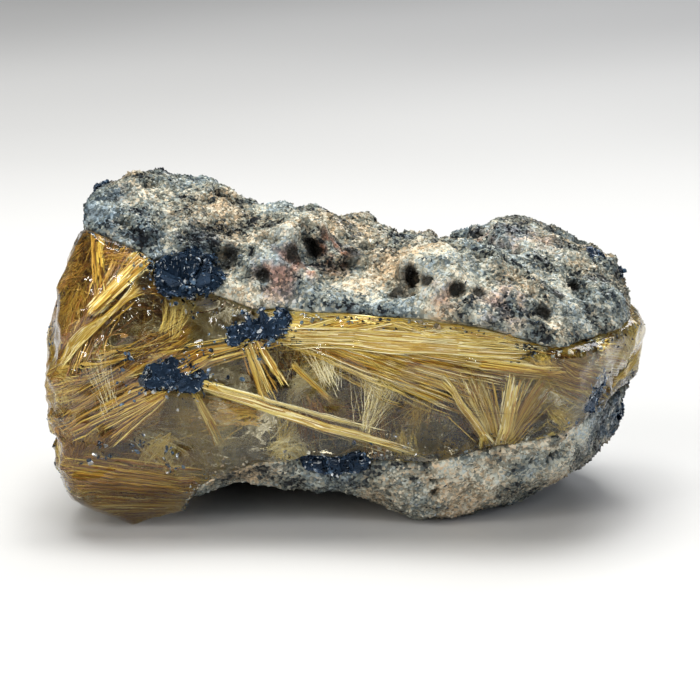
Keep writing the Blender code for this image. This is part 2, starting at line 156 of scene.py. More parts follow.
# Matt white card: even and dull, with a cloudiness that is only just there.
card, tree, output = new_material("matt white card")
grain = node(tree, "ShaderNodeTexNoise", {"Scale": 40.0, "Detail": 0.0})
tone = node(tree, "ShaderNodeValToRGB", {"Fac": grain.outputs["Fac"]}, [(0.3, "#C3C4C5"), (0.7, "#C9CACB")])
surface = node(tree, "ShaderNodeBsdfPrincipled", {"Base Color": tone.outputs["Color"], "Roughness": 0.7})
tree.links.new(surface.outputs["BSDF"], output.inputs["Surface"])
give(table_top, card)


# The clear quartz: one broken lump of smoky rock crystal. It fractures in shallow shells, so its faces are
# glossy and gently scooped, flattest in the window at the front and roughest at the left end and lower left.
QUARTZ_CELL = 0.5
WELD = 0.005
SOCKET_REACH = 1.1
SEAM_REACH = 0.75
SEAM_SINK = 0.4
# The share of a reach that still counts as near.
NEAR = 0.99
KNOTS = sorted(name for name in frame["nodes"] if name.startswith("hematite_"))
SHEAVES = sorted(name for name in frame["nodes"] if name.startswith("rutile_"))
# Where the quartz is shattered rather than smooth: centre, radius and how much.
SHATTERED = [
    ((-37, -16, 16), 12, 1.0),
    ((-38, 6, 12), 13, 0.9),
    ((-33, -20, 29), 8, 0.6),
    ((34, -10, 17), 8, 0.6),
    ((5, 22, 22), 7, 0.5),
]


def points_of(piece):
    """The vertices of a piece, as rows of an array."""
    flat = np.empty(len(piece.data.vertices) * 3, np.float32)
    piece.data.vertices.foreach_get("co", flat)
    return flat.reshape(-1, 3).astype(float)


def tree_of(names):
    """One search tree over the meshes of these objects."""
    corners, faces = [], []
    for name in names:
        mesh = bpy.data.objects[name].data
        faces += [[index + len(corners) for index in face.vertices] for face in mesh.polygons]
        corners += [point.co.copy() for point in mesh.vertices]
    return BVHTree.FromPolygons(corners, faces)


def distances(points, search, reach):
    """How far each point is from the surface in a search tree, up to reach, in metres."""
    found = [search.find_nearest(Vector(point), reach)[3] for point in points]
    return np.array([reach if gap is None else gap for gap in found])


def add_group(piece, name, weights, steps=20):
    """Stores a weight for each vertex of a piece, in even steps."""
    group = piece.vertex_groups.new(name=name)
    nearest = np.round(np.clip(weights, 0, 1) * steps).astype(int)
    for step in range(1, steps + 1):
        group.add(np.flatnonzero(nearest == step).tolist(), step / steps, "REPLACE")


def modify(piece, kind, **settings):
    """Adds a modifier with these settings to a piece and applies it."""
    bpy.context.view_layer.objects.active = piece
    modifier = piece.modifiers.new(kind.lower(), kind)
    for name, value in settings.items():
        setattr(modifier, name, value)
    bpy.ops.object.modifier_apply(modifier=modifier.name)


def relief(piece, kind, size, height, group="", middle=0.5, **settings):
    """Raises a relief on a piece, of cells or clouds about size millimetres across."""
    texture = bpy.data.textures.new(f"{kind} {size}", kind)
    texture.noise_scale = size * MM
    for name, value in settings.items():
        setattr(texture, name, value)
    modify(
        piece,
        "DISPLACE",
        texture=texture,
        strength=height * MM,
        mid_level=middle,
        vertex_group=group,
        texture_coords="LOCAL",
    )
    bpy.data.textures.remove(texture)


def remade(name, source, cell):
    """A copy of a CAD node's mesh, merged and remade in even cells."""
    bpy.ops.object.select_all(action="DESELECT")
    piece = bpy.data.objects.new(name, frame["nodes"][source].data.copy())
    bpy.context.scene.collection.objects.link(piece)
    bpy.context.view_layer.objects.active = piece
    piece.select_set(True)
    bpy.ops.object.mode_set(mode="EDIT")
    bpy.ops.mesh.select_all(action="SELECT")
    bpy.ops.mesh.remove_doubles(threshold=WELD * MM)
    bpy.ops.object.mode_set(mode="OBJECT")
    modify(piece, "REMESH", mode="VOXEL", voxel_size=cell * MM)
    return piece


def fill_sockets(piece):
    """Draws the sockets that the knots and sheaves sit in level with the stone round them."""
    near = distances(points_of(piece), seats, SOCKET_REACH * MM)
    add_group(piece, "sockets", near < SOCKET_REACH * MM * NEAR)
    modify(piece, "SMOOTH", factor=0.9, iterations=260, vertex_group="sockets")


def soft_spots(points, spots):
    """How much of a list of soft round spots each point has, from 0 to 1."""
    amount = np.zeros(len(points))
    for centre, radius, strength in spots:
        share = np.linalg.norm(points / MM - centre, axis=1) / radius
        amount = np.maximum(amount, strength * np.clip(1 - share**2, 0, 1))
    return amount


def rest_on_table(piece):
    """Flattens what a relief pushed below the table top."""
    points = points_of(piece)
    points[:, 2] = np.maximum(points[:, 2], 0)
    piece.data.vertices.foreach_set("co", points.ravel())
    piece.data.update()


seats = tree_of(KNOTS + SHEAVES)
quartz = remade("quartz_body", "quartz", QUARTZ_CELL)
fill_sockets(quartz)
crusts = tree_of(["top_crust", "base_crust"])
seam = distances(points_of(quartz), crusts, SEAM_REACH * MM) < SEAM_REACH * MM * NEAR
add_group(quartz, "seam", seam)
modify(quartz, "DISPLACE", strength=SEAM_SINK * MM, mid_level=0, vertex_group="seam")
modify(quartz, "SMOOTH", factor=0.5, iterations=4)
shattered = soft_spots(points_of(quartz), SHATTERED)
add_group(quartz, "smooth", (1 - shattered) * ~seam)
add_group(quartz, "shattered", shattered * ~seam)
relief(quartz, "VORONOI", 7, 1.8, "smooth", 0.12, distance_metric="DISTANCE_SQUARED")
relief(quartz, "VORONOI", 4.5, 2.6, "shattered", 0.16, distance_metric="DISTANCE_SQUARED")
relief(quartz, "VORONOI", 1.8, 1.1, "shattered", 0.2, distance_metric="DISTANCE_SQUARED")
relief(quartz, "CLOUDS", 3, 0.3, "smooth")
rest_on_table(quartz)
bpy.ops.object.select_all(action="DESELECT")
quartz.select_set(True)
bpy.context.view_layer.objects.active = quartz
bpy.ops.object.shade_smooth_by_angle(angle=math.radians(40))
quartz.visible_shadow = False

# Smoky quartz, broken: glass-clear and olive-brown by its depth, with fine ripples on its broken faces.
smoky_quartz, tree, output = new_material("smoky quartz, broken")
place = node(tree, "ShaderNodeTexCoord")
waves = node(
    tree, "ShaderNodeTexNoise", {"Vector": place.outputs["Object"], "Scale": 1 / (0.9 * MM), "Detail": 2.0}
)
ripples = node(
    tree, "ShaderNodeBump", {"Height": waves.outputs["Fac"], "Strength": 0.28, "Distance": 0.3 * MM}
)
clear = node(
    tree,
    "ShaderNodeBsdfPrincipled",
    {
        "Base Color": linear("#FDFBF2"),
        "Roughness": 0.03,
        "IOR": 1.544,
        "Transmission Weight": 1.0,
        "Normal": ripples.outputs["Normal"],
    },
)
smoke = node(tree, "ShaderNodeVolumeAbsorption", {"Color": linear("#D0C48E"), "Density": 26.0})
tree.links.new(clear.outputs["BSDF"], output.inputs["Surface"])
tree.links.new(smoke.outputs["Volume"], output.inputs["Volume"])
give(quartz, smoky_quartz)
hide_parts("quartz")
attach(quartz, "root")


# The crusts: grey feldspar and quartz druse grown over the top and under the right half, full of holes.
# Each is a knobbly body with a skin of loose-looking sugary grains, and stains of salmon, blue and white.
CRUST_CELL = 0.46
# How far from the quartz the relief reaches its full height, where it starts, and how wide the smooth lip is.
EDGE, EDGE_START, LIP = 3, 0.5, 1.8
# The pitted parts of the crust are patches about this far apart.
PATCH = 7
# How much of the relief stands out of the coarse form, and at most how far.
RAISED_SHARE, MOST_RAISED = 0.4, 0.45
# A pit gets painted shade from this deep, is at its darkest this much deeper, and is this dark there.
PIT_START, PIT_DEPTH, PIT_SHADE = 0.35, 0.9, 0.8
GRAINS = {"top_crust": 15500, "base_crust": 9000}
# Two sizes of grain, as half-widths, how deep they sit, and how close to the quartz they still grow.
GRAIN_SIZES = {"grains": (0.17, 0.42), "sugar": (0.1, 0.2)}
GRAIN_SUNK, GRAIN_EDGE = 0.25, 0.75
# Grains of every tone from black to white are about as common: the two shape values of their spread.
GRAIN_TONES = (1.15, 1.25)
# A hole's lip is this much wider than the hole, and its wall this steep.
HOLE_LIP, HOLE_WALL = 1.3, 1.2
# The painted shade in a hole: how far in it is centred, how much wider it is than the hole, and how strong.
SHADE_DEEP, SHADE_WIDER, SHADE_STRENGTH = 0.75, 0.3, 1.5
# Holes pressed into the crust: mouth, radius, and which way and how far each goes in.
HOLES = [
    ((-4, -15.2, 38.6), 2.2, (0.4, 6.5, -0.8)),
    ((-1.6, -15, 39.2), 2.3, (0, 6.5, -0.6)),
    ((0.8, -15, 39.4), 1.9, (0, 5.5, -0.4)),
    ((6.2, -19.2, 35.2), 2.1, (0, 4.5, 0)),
    ((4.6, -19, 34.4), 1.2, (0, 3, 0)),
    ((10.4, -19, 34.5), 1.2, (0, 2.5, 0)),
    ((13.5, -19.5, 32.6), 1.4, (0, 2.6, 0)),
    ((16.2, -20, 32.2), 1.0, (0, 2, 0)),
    ((25, -20, 29.8), 1.5, (0, 3, 0)),
    ((28.6, -15, 34.6), 1.2, (0, 2.2, -0.6)),
    ((32, -10, 35), 1.3, (0, 1.6, -1.4)),
    ((-16.6, -12, 41.5), 1.6, (0, 2, -1.6)),
    ((-11.8, -18, 34.8), 1.5, (0, 2.5, 0)),
    ((-7, -16, 38), 1.6, (0, 2.4, 0)),
    ((18, 20, 33), 2.4, (0, -4, -1)),
    ((28.5, 20.5, 29.3), 2.4, (0, -4, 0)),
    ((-12, 21, 33.5), 2.0, (0, -3.4, 0)),
    ((-2, 21, 33), 1.8, (0, -3, 0)),
    ((15, 2, 36), 2.6, (0, 0, -3.4)),
    ((21, -3, 36), 2.4, (0, 0, -3.4)),
    ((8, 8, 37), 2.2, (0, 0, -3)),
    ((-3, 8, 40), 2.4, (0, 0, -3)),
]
# Stains, salmon, blue-grey and white: centre, radius and how strong.
SALMON = [
    ((-5.2, -14.5, 37), 3.4, 1.3),
    ((-2, -10, 37), 4, 1.2),
    ((-9, -16, 35.4), 5, 0.75),
    ((24.5, -9, 38), 3.2, 1.0),
    ((28.5, -14, 34), 2.6, 0.8),
    ((20, -20, 32), 5, 0.5),
    ((12, -20, 32.5), 3, 0.5),
    ((15, 2, 36), 8, 0.55),
    ((24, 2, 34), 7, 0.5),
    ((34, 16, 27), 3.5, 0.9),
]
BLUE = [
    ((-29, -11, 43), 9, 1.0),
    ((-20, -13, 40), 8, 1.0),
    ((-9, -11, 42), 6, 0.45),
    ((9.6, -18.5, 40), 2.6, 1.0),
    ((-6, -16.5, 38), 2.4, 1.0),
    ((31, -15, 29), 7, 0.4),
    ((-24, 17, 40), 15, 1.8),
    ((-4, 19, 36), 14, 1.6),
    ((14, 20, 32), 12, 1.4),
    ((28, 18, 30), 12, 1.4),
    ((26, 20, 10), 16, 1.3),
    ((6, 20, 8), 16, 1.3),
    ((-10, 20, 8), 12, 1.2),
    ((36, 0, 12), 14, 1.3),
    ((-37, 0, 42), 9, 1.3),
    ((-2, -18, 9), 5, 0.7),
]
PALE = [
    ((2, -17, 35), 7, 0.9),
    ((8, -17, 37), 8, 1.0),
    ((15, -18, 35), 7, 0.7),
    ((-9, -13, 40), 7, 0.6),
    ((-4, -8, 42), 4, 0.8),
    ((-14, -16, 34), 6, 0.6),
    ((-24, -8, 45), 7, 0.4),
    ((14, -16, 6), 9, 0.7),
    ((28, -14, 12), 7, 0.5),
    ((30, -20, 30), 5, 0.4),
    ((14, 20, 8), 8, 0.5),
]


def seat(mouth):
    """The place on the crusts nearest to the mouth of a hole, in millimetres."""
    return crusts.find_nearest(Vector(mouth) * MM)[0] / MM


def stain_and_shade(piece, pit_shade):
    """Stores how salmon, blue and pale the crust is at each vertex, and the painted shade in its pits and
    holes.
    """
    points = points_of(piece)
    hole_shade = [
        (seat(mouth) + Vector(way) * SHADE_DEEP, size + SHADE_WIDER, SHADE_STRENGTH)
        for mouth, size, way in HOLES
    ]
    amounts = np.stack([soft_spots(points, spots) for spots in (SALMON, BLUE, PALE, hole_shade)], axis=1)
    amounts[:, 3] = np.clip(np.maximum(amounts[:, 3], pit_shade), 0, 1)
    stored = piece.data.attributes.new("stain_and_shade", "FLOAT_COLOR", "POINT")
    stored.data.foreach_set("color", amounts.astype(np.float32).ravel())


def copies(name, seed, places, turns, sizes, tones):
    """One piece made of many small copies of a seed object, each with its place, turn, sizes and tone."""
    corners = points_of(seed)
    seed.data.calc_loop_triangles()
    faces = np.array([face.vertices[:] for face in seed.data.loop_triangles])
    count = len(places)
    scaled = corners[None] * sizes[:, None, :]
    moved = np.einsum("nij,nvj->nvi", turns, scaled) + places[:, None, :]
    shifted = faces[None] + (np.arange(count) * len(corners))[:, None, None]
    mesh = bpy.data.meshes.new(name)
    mesh.from_pydata(moved.reshape(-1, 3), [], shifted.reshape(-1, 3))
    stored = mesh.attributes.new("tone", "FLOAT", "POINT")
    stored.data.foreach_set("value", np.repeat(tones, len(corners)).astype(np.float32))
    piece = bpy.data.objects.new(name, mesh)
    bpy.context.scene.collection.objects.link(piece)
    return piece


def random_turns(chance, count):
    """Random rotations, as matrices."""
    w, x, y, z = (lambda four: four / np.linalg.norm(four, axis=0))(chance.normal(size=(4, count)))
    rows = [
        [1 - 2 * (y * y + z * z), 2 * (x * y - w * z), 2 * (x * z + w * y)],
        [2 * (x * y + w * z), 1 - 2 * (x * x + z * z), 2 * (y * z - w * x)],
        [2 * (x * z - w * y), 2 * (y * z + w * x), 1 - 2 * (x * x + y * y)],
    ]
    return np.array(rows).transpose(2, 0, 1)


def spots_on(piece, chance, count, wanted=None):
    """Random points over a piece's faces, evenly by area, the way out at each, and a vertex beside it."""
    mesh = piece.data
    mesh.calc_loop_triangles()
    faces = np.array([face.vertices[:] for face in mesh.loop_triangles])
    if wanted is not None:
        faces = faces[wanted[faces].all(axis=1)]
    a, b, c = (points_of(piece)[faces[:, corner]] for corner in range(3))
    across = np.cross(b - a, c - a)
    area = np.linalg.norm(across, axis=1)
    picked = chance.choice(len(faces), count, p=area / area.sum())
    u, v = chance.random((2, count, 1))
    fold = u + v > 1
    u, v = np.where(fold, 1 - u, u), np.where(fold, 1 - v, v)
    out = across[picked] / np.maximum(area[picked], 1e-12)[:, None]
    return a[picked] + (b - a)[picked] * u + (c - a)[picked] * v, out, faces[picked, 0]


# Feldspar and quartz druse: matt grey with the odd bright facet, speckled black by hematite grains and
# stained, with painted shade darkening its pits and holes. The grains are about half a millimetre, and the
# mottling runs from 2 to 12 mm.
def druse(name, tone_of):
    """The crust's material, with the lightness of each grain from tone_of."""
    made, tree, output = new_material(name)
    place = node(tree, "ShaderNodeTexCoord").outputs["Object"]
    stains_and_shade = node(tree, "ShaderNodeAttribute", attribute_name="stain_and_shade")
    parts = node(tree, "ShaderNodeSeparateColor", {"Color": stains_and_shade.outputs["Color"]})
    patches = node(tree, "ShaderNodeTexNoise", {"Vector": place, "Scale": 1 / (4.2 * MM), "Detail": 2.0})
    broad = node(tree, "ShaderNodeTexNoise", {"Vector": place, "Scale": 1 / (11 * MM), "Detail": 1.0})
    tone = tone_of(tree, place)
    shade = node(tree, "ShaderNodeTexWhiteNoise", {"W": tone}, noise_dimensions="1D")
    spread = node(tree, "ShaderNodeMath", {0: shade.outputs["Value"], 1: 0.3, 2: -0.15},
                  operation="MULTIPLY_ADD")
    hue = node(tree, "ShaderNodeMath", {0: spread.outputs[0], 1: broad.outputs["Fac"]}, operation="ADD")
    muted = node(tree, "ShaderNodeMath", {0: tone, 1: 0.75, 2: 0.17}, operation="MULTIPLY_ADD")
    raised = node(tree, "ShaderNodeMath", {0: patches.outputs["Fac"], 1: 0.5}, operation="SUBTRACT")
    lift = node(tree, "ShaderNodeMath", {0: raised.outputs[0], 1: 2.1, 2: muted.outputs[0]},
                operation="MULTIPLY_ADD")
    paler = node(tree, "ShaderNodeMath", {0: parts.outputs["Blue"], 1: 0.5, 2: lift.outputs[0]},
                 operation="MULTIPLY_ADD")
    grey = node(tree, "ShaderNodeValToRGB", {"Fac": paler.outputs[0]}, [
        (0.0, "#0B0F16"), (0.17, "#1B2530"), (0.3, "#5A6264"), (0.52, "#8F938F"), (0.8, "#BFC0B9"),
        (1.0, "#F2F0E8"),
    ])
    tint = node(tree, "ShaderNodeValToRGB", {"Fac": hue.outputs[0]}, [
        (0.3, "#8CA6BA"), (0.45, "#B9C0B8"), (0.58, "#D6CCB6"), (0.72, "#C9A778"),
    ])
    tinted = node(tree, "ShaderNodeMix", {
        "Factor": 0.8, "A": grey.outputs["Color"], "B": tint.outputs["Color"],
    }, data_type="RGBA", blend_type="MULTIPLY")
    colour = tinted.outputs["Result"]
    broken = node(tree, "ShaderNodeTexNoise", {"Vector": place, "Scale": 1 / (2.2 * MM), "Detail": 2.0})
    sharp = node(
        tree, "ShaderNodeMapRange", {"Value": broken.outputs["Fac"], "From Min": 0.38, "From Max": 0.6}
    )
    for channel, code, most in (("Red", "#D08C70", 0.9), ("Green", "#4A6A88", 0.85)):
        amount = node(tree, "ShaderNodeMath", {0: sharp.outputs[0], 1: parts.outputs[channel]},
                      operation="MULTIPLY")
        share = node(tree, "ShaderNodeMath", {0: amount.outputs[0], 1: most}, operation="MULTIPLY")
        dyed = node(tree, "ShaderNodeMix", {"Factor": 1.0, "A": grey.outputs["Color"], "B": linear(code)},
                    data_type="RGBA", blend_type="MULTIPLY")
        mixed = node(tree, "ShaderNodeMix", {
            "Factor": share.outputs[0], "A": colour, "B": dyed.outputs["Result"],
        }, data_type="RGBA")
        colour = mixed.outputs["Result"]
    # Painted shade: the stored shade darkens the pits and holes towards near-black.
    painted_shade = node(tree, "ShaderNodeMath", {0: stains_and_shade.outputs["Alpha"], 1: 0.92}, operation="MULTIPLY")
    shaded_colour = node(tree, "ShaderNodeMix", {"Factor": painted_shade.outputs[0], "A": colour, "B": linear("#0B0A09")},
                data_type="RGBA")
    gloss = node(tree, "ShaderNodeMapRange", {"Value": tone, "To Min": 0.62, "To Max": 0.22})
    sugar = node(tree, "ShaderNodeTexNoise", {"Vector": place, "Scale": 1 / (0.35 * MM), "Detail": 1.0})
    bump = node(
        tree, "ShaderNodeBump", {"Height": sugar.outputs["Fac"], "Strength": 0.5, "Distance": 0.15 * MM}
    )
    surface = node(tree, "ShaderNodeBsdfPrincipled", {
        "Base Color": shaded_colour.outputs["Result"], "Roughness": gloss.outputs[0], "IOR": 1.53,
        "Normal": bump.outputs["Normal"],
    })
    tree.links.new(surface.outputs["BSDF"], output.inputs["Surface"])
    return made


def cell_tone(tree, place):
    """A lightness for each cell of the crust's body, about half a millimetre across."""
    cells = node(tree, "ShaderNodeTexVoronoi", {"Vector": place, "Scale": 1 / (0.42 * MM)})
    return node(tree, "ShaderNodeSeparateColor", {"Color": cells.outputs["Color"]}).outputs["Red"]


def own_tone(tree, place):
    """The lightness stored for each grain."""
    return node(tree, "ShaderNodeAttribute", attribute_name="tone").outputs["Fac"]


druse_body = druse("feldspar druse", cell_tone)
druse_grains = druse("feldspar druse, grains", own_tone)



def grain_of(faces):
    """A rough crystal grain with this many faces, to make copies of."""
    bpy.ops.object.select_all(action="DESELECT")
    bpy.ops.mesh.primitive_ico_sphere_add(subdivisions=1, radius=1)
    bpy.ops.object.mode_set(mode="EDIT")
    bpy.ops.mesh.decimate(ratio=faces / 20)
    bpy.ops.transform.vertex_random(offset=0.2, seed=3)
    bpy.ops.mesh.normals_make_consistent(inside=False)
    bpy.ops.object.mode_set(mode="OBJECT")
    return bpy.context.object


seeds = {"grains": grain_of(8), "sugar": grain_of(6)}


def press_holes(piece):
    """Presses the crust's open holes into a piece."""
    points = points_of(piece)
    for mouth, size, way in HOLES:
        share = np.linalg.norm(points / MM - seat(mouth), axis=1) / (size * HOLE_LIP)
        points += np.clip(1 - share**2, 0, 1)[:, None] ** HOLE_WALL * np.array(way) * MM
    piece.data.vertices.foreach_set("co", points.ravel())
    piece.data.update()


def hold_back(piece, even, ways):
    """Takes most of what a relief raised off again. Returns its pits' painted shade, by depth, from 0 to 1.
    """
    height = ((points_of(piece) - even) * ways).sum(axis=1)
    height = np.minimum(height, np.minimum(height * RAISED_SHARE, MOST_RAISED * MM))
    piece.data.vertices.foreach_set("co", (even + ways * height[:, None]).ravel())
    piece.data.update()
    return PIT_SHADE * np.clip((-PIT_START - height / MM) / PIT_DEPTH, 0, 1)


quartz_side = tree_of(["quartz"])
stone_names = ["quartz_body"]
for source in ("top_crust", "base_crust"):
    crust = remade(f"{source}_body", source, CRUST_CELL)
    stone_names.append(crust.name)
    fill_sockets(crust)
    press_holes(crust)
    modify(crust, "REMESH", mode="VOXEL", voxel_size=CRUST_CELL * MM)
    clearance = distances(points_of(crust), quartz_side, EDGE * MM) / MM
    open_air = clearance > GRAIN_EDGE
    add_group(crust, "open", np.clip((clearance - EDGE_START) / (EDGE - EDGE_START), 0, 1))
    patchy = np.array([noise.noise(Vector(point) / (PATCH * MM)) for point in points_of(crust)])
    add_group(crust, "pitted", (clearance > EDGE * NEAR) * np.clip(patchy * 4, 0, 1))
    add_group(crust, "lip", clearance < LIP)
    modify(crust, "SMOOTH", factor=0.6, iterations=14, vertex_group="lip")
    even, ways = points_of(crust), np.array([point.normal[:] for point in crust.data.vertices])
    relief(crust, "CLOUDS", 4.5, 0.9, "open", 0.55)
    relief(crust, "VORONOI", 3.8, 1.7, "pitted", 1.0, contrast=5, intensity=2)
    relief(crust, "VORONOI", 2, 0.7, "open", 0.5)
    relief(crust, "CLOUDS", 0.9, 0.6, "open", 0.5)
    # Painted shade, darker the deeper a pit sinks, stored with the stains.
    pit_shade = hold_back(crust, even, ways)
    rest_on_table(crust)
    stain_and_shade(crust, pit_shade)
    give(crust, druse_body)
    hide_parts(source)
    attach(crust, "root")
    for kind, half_widths in GRAIN_SIZES.items():
        chance = np.random.default_rng(len(source) + len(kind))
        count = GRAINS[source]
        spots, out, beside = spots_on(crust, chance, count, open_air)
        sizes = chance.uniform(*half_widths, (count, 1)) * chance.uniform(0.7, 1.3, (count, 3)) * MM
        grains = copies(f"{source}_{kind}", seeds[kind], spots - out * sizes * GRAIN_SUNK,
                        random_turns(chance, count), sizes, chance.beta(*GRAIN_TONES, count))
        rest_on_table(grains)
        stain_and_shade(grains, np.repeat(pit_shade[beside], len(grains.data.vertices) // count))
        give(grains, druse_grains)
        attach(grains, "root")

# Druse also strays over the edge of the clear quartz, thinning out in a few millimetres. These grains are
# half sunk in it.
STRAYS, STRAY_REACH, STRAY_FADE = 10700, 3, 1.1
STRAY_SIZES, STRAY_SUNK = (0.12, 0.38), 0.5
chance = np.random.default_rng(5)
spots, out, beside = spots_on(quartz, chance, STRAYS * 8)
gaps = distances(spots, tree_of(["top_crust", "base_crust"]), STRAY_REACH * MM) / MM
kept = (gaps > 0.1) & (chance.random(len(gaps)) < np.exp(-gaps / STRAY_FADE) * (gaps < STRAY_REACH))
spots, out = spots[kept][:STRAYS], out[kept][:STRAYS]
count = len(spots)
sizes = chance.uniform(*STRAY_SIZES, (count, 1)) * chance.uniform(0.6, 1.2, (count, 3)) * MM
strays = copies("seam_grains", seeds["sugar"], spots - out * sizes * STRAY_SUNK,
                random_turns(chance, count), sizes, chance.beta(*GRAIN_TONES, count))
rest_on_table(strays)
stain_and_shade(strays, 0)
give(strays, druse_grains)
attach(strays, "root")
for seed in seeds.values():
    bpy.data.objects.remove(seed)


# The hematite: knots of thin blue-black plates grown through each other on the crust's edges, and small
# flecks of the same between them. Each plate is a low six-sided crystal, as bright as steel on its faces.
PLATES_PER_MM2 = 7.2
# The plates' radii, how thick they are and how deep they sit, as shares of the radius.
PLATE_SIZES, PLATE_THICK, PLATE_SUNK = (0.14, 0.46), 0.4, 0.5
# An apron of loose plates lies round each knot, this far out as a share of its size.
APRON_PER_MM2, APRON_REACH = 3.5, 0.28
# A knot is remade in cells of this size, stands this share as proud of the stone as its coarse solid does,
# and has this dark tone.
KNOT_CELL, PROUD_SHARE, KNOT_TONE = 0.3, 0.25, 0.12
# Flecks between the knots: centre, spread and how many.
FLECKS = [
    ((-32.5, -22.5, 11.7), 1.6, 26),
    ((-28, -22, 13), 1.4, 22),
    ((-23.5, -20.5, 11), 1.4, 22),
    ((18.4, -17, 11), 1.7, 40),
    ((9.6, -18.5, 39), 1.8, 30),
    ((28.5, -16, 14), 2.2, 30),
    ((33.5, -17, 18), 1.6, 30),
    ((-29, -19, 24), 1.8, 20),
    ((-33, 9, 43), 3.5, 60),
    ((-36, 19, 36), 3, 40),
    ((-39, 3, 35), 1.8, 30),
    ((19.6, 20, 31.6), 4, 50),
    ((18.8, 20, 10.5), 3, 40),
    ((11.8, 20, 3.5), 3, 40),
    ((0.4, 20, 12.5), 3, 36),
    ((-10, 20, 7), 3, 36),
    ((-36, 5, 44), 3, 40),
    ((33, 6, 30), 2.5, 30),
    ((22, 18, 22), 3, 40),
    ((-39, -4, 23), 5, 110),
    ((-39, 7, 12), 6, 110),
    ((-38, -13, 9), 5, 80),
    ((-24, 16, 41), 8, 160),
    ((-2, 19, 36), 8, 160),
    ((16, 19, 34), 8, 140),
    ((30, 18, 30), 6, 90),
    ((10, 21, 7), 9, 140),
    ((27, 19, 8), 7, 110),
    ((-27, -12, 43), 6, 90),
    ((-17, -15, 36), 5, 70),
    ((20, -19, 32), 7, 60),
    ((10, -18, 5), 8, 60),
    ((36, -2, 13), 6, 90),
    ((34, 6, 32), 6, 80),
]

# Hematite, grown in plates: a dark metal with a blue lustre, a few faces nearly white.
hematite, tree, output = new_material("hematite, plates")
tones = node(tree, "ShaderNodeAttribute", attribute_name="tone")
place = node(tree, "ShaderNodeTexCoord")
film = node(
    tree, "ShaderNodeTexNoise", {"Vector": place.outputs["Object"], "Scale": 1 / (1.5 * MM), "Detail": 3.0}
)
mixed_tone = node(tree, "ShaderNodeMath", {0: film.outputs["Fac"], 1: 0.35, 2: tones.outputs["Fac"]},
                  operation="MULTIPLY_ADD")
steel = node(tree, "ShaderNodeValToRGB", {"Fac": mixed_tone.outputs[0]}, [
    (0.15, "#141C26"), (0.42, "#344B66"), (0.75, "#7390AE"), (1.0, "#EAF0F4"),
])
surface = node(tree, "ShaderNodeBsdfPrincipled", {
    "Base Color": steel.outputs["Color"], "Roughness": 0.24, "Metallic": 0.65,
})
tree.links.new(surface.outputs["BSDF"], output.inputs["Surface"])

bpy.ops.object.select_all(action="DESELECT")
bpy.ops.mesh.primitive_cone_add(vertices=6, radius1=1, radius2=0, depth=PLATE_THICK)
plate_seed = bpy.context.object


def plates_at(name, chance, spots, out):
    """Thin six-sided plates at these spots, standing at all angles."""
    count = len(spots)
    radius = chance.uniform(*PLATE_SIZES, (count, 1)) * MM
    sizes = radius * np.column_stack([np.ones(count), chance.uniform(0.6, 1, count), np.ones(count)])
    return copies(name, plate_seed, spots - out * radius * PLATE_SUNK, random_turns(chance, count), sizes,
                  chance.random(count) ** 1.6)


stone = tree_of(stone_names)
for source in KNOTS:
    knot = remade(f"{source}_body", source, KNOT_CELL)
    relief(knot, "CLOUDS", 2.6, 2.4, "", 0.55)
    relief(knot, "VORONOI", 1.2, 0.5, "", 0.6)
    shape = points_of(knot)
    for number, point in enumerate(shape):
        found, normal, *_ = stone.find_nearest(Vector(point))
        proud = (Vector(point) - found).dot(normal)
        shape[number] -= np.array(normal) * max(0, proud) * (1 - PROUD_SHARE)
    knot.data.vertices.foreach_set("co", shape.ravel())
    knot.data.update()
    stored = knot.data.attributes.new("tone", "FLOAT", "POINT")
    stored.data.foreach_set("value", np.full(len(knot.data.vertices), KNOT_TONE, np.float32))
    give(knot, hematite)
    area = sum(face.area for face in knot.data.polygons) / MM**2
    chance = np.random.default_rng(len(source) + int(area))
    spots, out, _ = spots_on(knot, chance, int(area * PLATES_PER_MM2))
    apron = chance.normal(size=(int(area * APRON_PER_MM2), 3)) * np.ptp(shape, axis=0) * APRON_REACH
    found = [stone.find_nearest(Vector(point)) for point in shape.mean(axis=0) + apron]
    spots = np.concatenate([spots, [place for place, *_ in found]])
    out = np.concatenate([out, [normal for _, normal, *_ in found]])
    plates = plates_at(f"{source}_plates", chance, spots, out)
    give(plates, hematite)
    for piece in (knot, plates):
        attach(piece, "root")
    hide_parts(source)

chance = np.random.default_rng(40)
fleck_spots, fleck_out = [], []
for centre, spread, count in FLECKS:
    for _ in range(count):
        near = Vector(centre) + Vector(chance.normal(size=3)) * spread * 0.5
        found, normal, *_ = stone.find_nearest(near * MM)
        fleck_spots.append(found)
        fleck_out.append(normal)
flecks = plates_at("hematite_flecks", chance, np.array(fleck_spots), np.array(fleck_out))
give(flecks, hematite)
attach(flecks, "root")
bpy.data.objects.remove(plate_seed)


# The rutile at the surface: flat sheaves of straight golden needles laid bare where the quartz broke. Each
# follows its CAD solid from end to end and keeps within it.
NEEDLES_PER_SHEAF = 240
NEEDLE_RADII, NEEDLE_TONES = (0.025, 0.065), (0.3, 1)
# A needle bends a little: it passes this many stations along the sheaf, each set by at least so many corners.
STATIONS, FEWEST_CORNERS = 6, 12
# The shares of the sheaf's half-width and half-thickness that its needles fill, and how much they fan out.
ACROSS, ABOVE, FANNING = 0.9, 0.6, 0.25
# Where along the sheaf a needle starts at the latest, and how much of it the needle runs along at least.
LATEST_START, LEAST_RUN = 0.7, 0.3
# The needles lie on the quartz, and none stands more than this off it.
LYING = 0.15
clear_side = tree_of(["quartz_body"])


